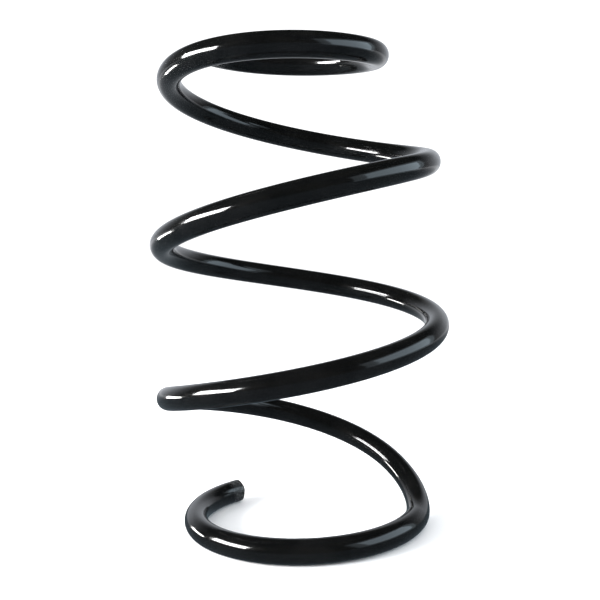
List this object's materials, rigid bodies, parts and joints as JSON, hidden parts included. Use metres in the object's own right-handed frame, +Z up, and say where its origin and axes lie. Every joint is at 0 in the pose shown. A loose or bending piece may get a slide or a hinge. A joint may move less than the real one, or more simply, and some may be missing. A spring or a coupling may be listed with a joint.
{
  "type": "coil spring",
  "caption": "Barrel-shaped car suspension coil spring of round steel wire, with a flat lower end coil and a smaller upper end coil.",
  "frame": {"origin": "in the middle of the spring's footprint, in the plane that the lower end coil stands on", "axes": "+Z up, along the coil's axis; +X to the right and -Y towards the viewer when the lower cut end is at the back left"},
  "size_m": [0.1598, 0.1603, 0.27],
  "materials": {
    "coated_wire": "gloss black coating"
  },
  "bodies": {
    "lower_end": {"lower_end_coil_01": "coated_wire", "lower_end_coil_02": "coated_wire", "lower_end_coil_03": "coated_wire", "lower_end_coil_04": "coated_wire", "lower_end_coil_05": "coated_wire"},
    "active_01": {"active_wire_01": "coated_wire"},
    "active_02": {"active_wire_02": "coated_wire"},
    "active_03": {"active_wire_03": "coated_wire"},
    "active_04": {"active_wire_04": "coated_wire"},
    "active_05": {"active_wire_05": "coated_wire"},
    "active_06": {"active_wire_06": "coated_wire"},
    "active_07": {"active_wire_07": "coated_wire"},
    "active_08": {"active_wire_08": "coated_wire"},
    "active_09": {"active_wire_09": "coated_wire"},
    "active_10": {"active_wire_10": "coated_wire"},
    "active_11": {"active_wire_11": "coated_wire"},
    "active_12": {"active_wire_12": "coated_wire"},
    "active_13": {"active_wire_13": "coated_wire"},
    "active_14": {"active_wire_14": "coated_wire"},
    "active_15": {"active_wire_15": "coated_wire"},
    "active_16": {"active_wire_16": "coated_wire"},
    "active_17": {"active_wire_17": "coated_wire"},
    "active_18": {"active_wire_18": "coated_wire"},
    "active_19": {"active_wire_19": "coated_wire"},
    "active_20": {"active_wire_20": "coated_wire"},
    "active_21": {"active_wire_21": "coated_wire"},
    "upper_end": {"upper_end_coil_01": "coated_wire", "upper_end_coil_02": "coated_wire", "upper_end_coil_03": "coated_wire", "upper_end_coil_04": "coated_wire", "upper_end_coil_05": "coated_wire", "upper_end_coil_06": "coated_wire"}
  },
  "joints": [
    {"name": "wire_twist_01", "type": "hinge", "parent": "lower_end", "child": "active_01", "pos_m": [0.06096, -0.00529, 0.00726], "axis": [-0.1736, -0.974, -0.1453], "range_deg": [0, 0.54], "stiffness_Nm_per_rad": 300},
    {"name": "wire_twist_02", "type": "hinge", "parent": "active_01", "child": "active_02", "pos_m": [0.04942, 0.04371, 0.02494], "axis": [0.5524, -0.7427, -0.3784], "range_deg": [0, 1.2], "stiffness_Nm_per_rad": 300},
    {"name": "wire_twist_03", "type": "hinge", "parent": "active_02", "child": "active_03", "pos_m": [0.00389, 0.06952, 0.04447], "axis": [0.9465, -0.1035, -0.3057], "range_deg": [0, 2.57], "stiffness_Nm_per_rad": 300},
    {"name": "wire_twist_04", "type": "hinge", "parent": "active_03", "child": "active_04", "pos_m": [-0.0471, 0.05433, 0.06], "axis": [0.7533, 0.6115, -0.2421], "range_deg": [0, 4.05], "stiffness_Nm_per_rad": 300},
    {"name": "wire_twist_05", "type": "hinge", "parent": "active_04", "child": "active_05", "pos_m": [-0.0729, 0.00713, 0.07222], "axis": [0.111, 0.9745, -0.1948], "range_deg": [0, 5.63], "stiffness_Nm_per_rad": 300},
    {"name": "wire_twist_06", "type": "hinge", "parent": "active_05", "child": "active_06", "pos_m": [-0.05803, -0.0455, 0.08265], "axis": [-0.6049, 0.7767, -0.1757], "range_deg": [0, 6.71], "stiffness_Nm_per_rad": 300},
    {"name": "wire_twist_07", "type": "hinge", "parent": "active_06", "child": "active_07", "pos_m": [-0.00934, -0.07316, 0.09271], "axis": [-0.978, 0.1228, -0.1686], "range_deg": [0, 7.03], "stiffness_Nm_per_rad": 300},
    {"name": "wire_twist_08", "type": "hinge", "parent": "active_07", "child": "active_08", "pos_m": [0.04579, -0.05757, 0.10249], "axis": [-0.7699, -0.618, -0.159], "range_deg": [0, 6.59], "stiffness_Nm_per_rad": 300},
    {"name": "wire_twist_09", "type": "hinge", "parent": "active_08", "child": "active_09", "pos_m": [0.07308, -0.00641, 0.1119], "axis": [-0.0857, -0.9842, -0.1552], "range_deg": [0, 5.69], "stiffness_Nm_per_rad": 300},
    {"name": "wire_twist_10", "type": "hinge", "parent": "active_09", "child": "active_10", "pos_m": [0.0552, 0.0485, 0.12142], "axis": [0.6486, -0.7432, -0.164], "range_deg": [0, 4.9], "stiffness_Nm_per_rad": 300},
    {"name": "wire_twist_11", "type": "hinge", "parent": "active_10", "child": "active_11", "pos_m": [0.00426, 0.07351, 0.13159], "axis": [0.982, -0.0582, -0.1799], "range_deg": [0, 4.47], "stiffness_Nm_per_rad": 300},
    {"name": "wire_twist_12", "type": "hinge", "parent": "active_11", "child": "active_12", "pos_m": [-0.04819, 0.05563, 0.14247], "axis": [0.7398, 0.6436, -0.1959], "range_deg": [0, 4.38], "stiffness_Nm_per_rad": 300},
    {"name": "wire_twist_13", "type": "hinge", "parent": "active_12", "child": "active_13", "pos_m": [-0.07298, 0.00714, 0.15404], "axis": [0.0868, 0.9739, -0.2097], "range_deg": [0, 4.47], "stiffness_Nm_per_rad": 300},
    {"name": "wire_twist_14", "type": "hinge", "parent": "active_13", "child": "active_14", "pos_m": [-0.05718, -0.0448, 0.16631], "axis": [-0.613, 0.7586, -0.2206], "range_deg": [0, 4.72], "stiffness_Nm_per_rad": 300},
    {"name": "wire_twist_15", "type": "hinge", "parent": "active_14", "child": "active_15", "pos_m": [-0.00916, -0.07118, 0.1789], "axis": [-0.9715, 0.1099, -0.21], "range_deg": [0, 5.19], "stiffness_Nm_per_rad": 300},
    {"name": "wire_twist_16", "type": "hinge", "parent": "active_15", "child": "active_16", "pos_m": [0.04415, -0.05559, 0.18986], "axis": [-0.7659, -0.6225, -0.1609], "range_deg": [0, 5.78], "stiffness_Nm_per_rad": 300},
    {"name": "wire_twist_17", "type": "hinge", "parent": "active_16", "child": "active_17", "pos_m": [0.07028, -0.00615, 0.19795], "axis": [-0.083, -0.9879, -0.1309], "range_deg": [0, 6.27], "stiffness_Nm_per_rad": 300},
    {"name": "wire_twist_18", "type": "hinge", "parent": "active_17", "child": "active_18", "pos_m": [0.05288, 0.04658, 0.20649], "axis": [0.6519, -0.7371, -0.1779], "range_deg": [0, 6.34], "stiffness_Nm_per_rad": 300},
    {"name": "wire_twist_19", "type": "hinge", "parent": "active_18", "child": "active_19", "pos_m": [0.00394, 0.06997, 0.21853], "axis": [0.9711, -0.0419, -0.2349], "range_deg": [0, 5.61], "stiffness_Nm_per_rad": 300},
    {"name": "wire_twist_20", "type": "hinge", "parent": "active_19", "child": "active_20", "pos_m": [-0.0452, 0.05203, 0.23174], "axis": [0.7139, 0.6605, -0.2325], "range_deg": [0, 4.26], "stiffness_Nm_per_rad": 300},
    {"name": "wire_twist_21", "type": "hinge", "parent": "active_20", "child": "active_21", "pos_m": [-0.06624, 0.00651, 0.24277], "axis": [0.0322, 0.9832, -0.1798], "range_deg": [0, 1.95], "stiffness_Nm_per_rad": 300},
    {"name": "wire_twist_22", "type": "hinge", "parent": "active_21", "child": "upper_end", "pos_m": [-0.04905, -0.03805, 0.24957], "axis": [-0.701, 0.708, -0.0861], "range_deg": [0, 0.66], "stiffness_Nm_per_rad": 300}
  ],
  "couplings": [
    {"joint": "wire_twist_01", "follows": "wire_twist_07", "ratio": 0.0754},
    {"joint": "wire_twist_02", "follows": "wire_twist_07", "ratio": 0.1693},
    {"joint": "wire_twist_03", "follows": "wire_twist_07", "ratio": 0.3642},
    {"joint": "wire_twist_04", "follows": "wire_twist_07", "ratio": 0.5747},
    {"joint": "wire_twist_05", "follows": "wire_twist_07", "ratio": 0.7994},
    {"joint": "wire_twist_06", "follows": "wire_twist_07", "ratio": 0.9531},
    {"joint": "wire_twist_08", "follows": "wire_twist_07", "ratio": 0.936},
    {"joint": "wire_twist_09", "follows": "wire_twist_07", "ratio": 0.808},
    {"joint": "wire_twist_10", "follows": "wire_twist_07", "ratio": 0.6956},
    {"joint": "wire_twist_11", "follows": "wire_twist_07", "ratio": 0.6344},
    {"joint": "wire_twist_12", "follows": "wire_twist_07", "ratio": 0.6202},
    {"joint": "wire_twist_13", "follows": "wire_twist_07", "ratio": 0.6344},
    {"joint": "wire_twist_14", "follows": "wire_twist_07", "ratio": 0.67},
    {"joint": "wire_twist_15", "follows": "wire_twist_07", "ratio": 0.7368},
    {"joint": "wire_twist_16", "follows": "wire_twist_07", "ratio": 0.8208},
    {"joint": "wire_twist_17", "follows": "wire_twist_07", "ratio": 0.8905},
    {"joint": "wire_twist_18", "follows": "wire_twist_07", "ratio": 0.9004},
    {"joint": "wire_twist_19", "follows": "wire_twist_07", "ratio": 0.7966},
    {"joint": "wire_twist_20", "follows": "wire_twist_07", "ratio": 0.6046},
    {"joint": "wire_twist_21", "follows": "wire_twist_07", "ratio": 0.276},
    {"joint": "wire_twist_22", "follows": "wire_twist_07", "ratio": 0.0925}
  ]
}
